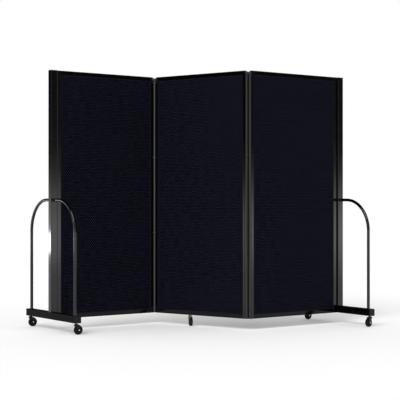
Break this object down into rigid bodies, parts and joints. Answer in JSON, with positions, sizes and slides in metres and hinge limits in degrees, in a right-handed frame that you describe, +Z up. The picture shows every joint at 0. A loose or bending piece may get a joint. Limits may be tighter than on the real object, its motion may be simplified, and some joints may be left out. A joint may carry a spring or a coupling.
{
  "type": "folding privacy screen on wheels",
  "caption": "Free-standing ward privacy screen: fabric panels in black frames, hinged in a zigzag, on end posts with base bars, arched hoops and swivel casters.",
  "frame": {"origin": "on the floor under the centre of the middle panel, which is the middle of the whole screen's footprint as pictured", "axes": "+Z up; +X along the zigzag, from the left end unit to the right end unit; -Y towards the camera side"},
  "size_m": [2.5278, 1.1184, 1.83],
  "materials": {
    "panel_frame": "gloss",
    "stand_frame": "gloss",
    "hoop_tube": "gloss",
    "hinge_black": "satin",
    "panel_fabric": "matte",
    "core_board": "matte",
    "black_plastic": "satin",
    "caster_steel": "satin",
    "tyre_rubber": "matte",
    "bright_steel": "polished"
  },
  "bodies": {
    "middle_panel": {"middle_left_stile": "panel_frame", "middle_right_stile": "panel_frame", "middle_top_rail": "panel_frame", "middle_bottom_rail": "panel_frame", "middle_core": "core_board", "middle_front_fabric": "panel_fabric", "middle_back_fabric": "panel_fabric", "middle_caster_stem": "bright_steel"},
    "left_link": {"left_hinge_spine": "hinge_black", "left_hinge_left_rod": "hinge_black", "left_hinge_right_rod": "hinge_black"},
    "left_panel": {"left_left_stile": "panel_frame", "left_right_stile": "panel_frame", "left_top_rail": "panel_frame", "left_bottom_rail": "panel_frame", "left_core": "core_board", "left_front_fabric": "panel_fabric", "left_back_fabric": "panel_fabric", "left_post": "stand_frame", "left_post_cap": "black_plastic", "left_base_bar": "stand_frame", "left_hoop": "hoop_tube", "left_front_caster_stem": "bright_steel", "left_back_caster_stem": "bright_steel"},
    "right_link": {"right_hinge_spine": "hinge_black", "right_hinge_left_rod": "hinge_black", "right_hinge_right_rod": "hinge_black"},
    "right_panel": {"right_left_stile": "panel_frame", "right_right_stile": "panel_frame", "right_top_rail": "panel_frame", "right_bottom_rail": "panel_frame", "right_core": "core_board", "right_front_fabric": "panel_fabric", "right_back_fabric": "panel_fabric", "right_post": "stand_frame", "right_post_cap": "black_plastic", "right_base_bar": "stand_frame", "right_hoop": "hoop_tube", "right_front_caster_stem": "bright_steel", "right_back_caster_stem": "bright_steel"},
    "left_front_caster_fork": {"left_front_caster_fork": "caster_steel", "left_front_caster_axle": "bright_steel"},
    "left_front_caster_wheel": {"left_front_caster_hub": "black_plastic", "left_front_caster_tyre": "tyre_rubber"},
    "left_back_caster_fork": {"left_back_caster_fork": "caster_steel", "left_back_caster_axle": "bright_steel"},
    "left_back_caster_wheel": {"left_back_caster_hub": "black_plastic", "left_back_caster_tyre": "tyre_rubber"},
    "right_front_caster_fork": {"right_front_caster_fork": "caster_steel", "right_front_caster_axle": "bright_steel"},
    "right_front_caster_wheel": {"right_front_caster_hub": "black_plastic", "right_front_caster_tyre": "tyre_rubber"},
    "right_back_caster_fork": {"right_back_caster_fork": "caster_steel", "right_back_caster_axle": "bright_steel"},
    "right_back_caster_wheel": {"right_back_caster_hub": "black_plastic", "right_back_caster_tyre": "tyre_rubber"},
    "middle_caster_fork": {"middle_caster_fork": "caster_steel", "middle_caster_axle": "bright_steel"},
    "middle_caster_wheel": {"middle_caster_hub": "black_plastic", "middle_caster_tyre": "tyre_rubber"}
  },
  "joints": [
    {"name": "left_link_fold", "type": "hinge", "parent": "middle_panel", "child": "left_link", "pos_m": [-0.32726, 0.23603, 0], "axis": [0, 0, 1], "range_deg": [-35.8, 54.2]},
    {"name": "left_panel_fold", "type": "hinge", "parent": "left_link", "child": "left_panel", "pos_m": [-0.35276, 0.23603, 0], "axis": [0, 0, 1], "range_deg": [-35.8, 54.2]},
    {"name": "right_link_fold", "type": "hinge", "parent": "middle_panel", "child": "right_link", "pos_m": [0.32726, -0.23603, 0], "axis": [0, 0, 1], "range_deg": [-35.8, 54.2]},
    {"name": "right_panel_fold", "type": "hinge", "parent": "right_link", "child": "right_panel", "pos_m": [0.35276, -0.23603, 0], "axis": [0, 0, 1], "range_deg": [-35.8, 54.2]},
    {"name": "left_front_caster_swivel", "type": "hinge", "parent": "left_panel", "child": "left_front_caster_fork", "pos_m": [-0.8423, -0.52514, 0.079], "axis": [0, 0, 1], "continuous": true},
    {"name": "left_front_caster_roll", "type": "hinge", "parent": "left_front_caster_fork", "child": "left_front_caster_wheel", "pos_m": [-0.83001, -0.51654, 0.032], "axis": [-0.5736, 0.8192, 0], "continuous": true},
    {"name": "left_back_caster_swivel", "type": "hinge", "parent": "left_panel", "child": "left_back_caster_fork", "pos_m": [-1.22954, 0.01178, 0.079], "axis": [0, 0, 1], "continuous": true},
    {"name": "left_back_caster_roll", "type": "hinge", "parent": "left_back_caster_fork", "child": "left_back_caster_wheel", "pos_m": [-1.21655, 0.01928, 0.032], "axis": [-0.5, 0.866, 0], "continuous": true},
    {"name": "right_front_caster_swivel", "type": "hinge", "parent": "right_panel", "child": "right_front_caster_fork", "pos_m": [1.22954, -0.01178, 0.079], "axis": [0, 0, 1], "continuous": true},
    {"name": "right_front_caster_roll", "type": "hinge", "parent": "right_front_caster_fork", "child": "right_front_caster_wheel", "pos_m": [1.21894, -0.02239, 0.032], "axis": [0.7071, -0.7071, 0], "continuous": true},
    {"name": "right_back_caster_swivel", "type": "hinge", "parent": "right_panel", "child": "right_back_caster_fork", "pos_m": [0.8423, 0.52514, 0.079], "axis": [0, 0, 1], "continuous": true},
    {"name": "right_back_caster_roll", "type": "hinge", "parent": "right_back_caster_fork", "child": "right_back_caster_wheel", "pos_m": [0.83081, 0.5155, 0.032], "axis": [0.6428, -0.766, 0], "continuous": true},
    {"name": "middle_caster_swivel", "type": "hinge", "parent": "middle_panel", "child": "middle_caster_fork", "pos_m": [-0.073, 0.05265, 0.079], "axis": [0, 0, 1], "continuous": true},
    {"name": "middle_caster_roll", "type": "hinge", "parent": "middle_caster_fork", "child": "middle_caster_wheel", "pos_m": [-0.06861, 0.0383, 0.032], "axis": [0.9563, 0.2924, 0], "continuous": true}
  ]
}
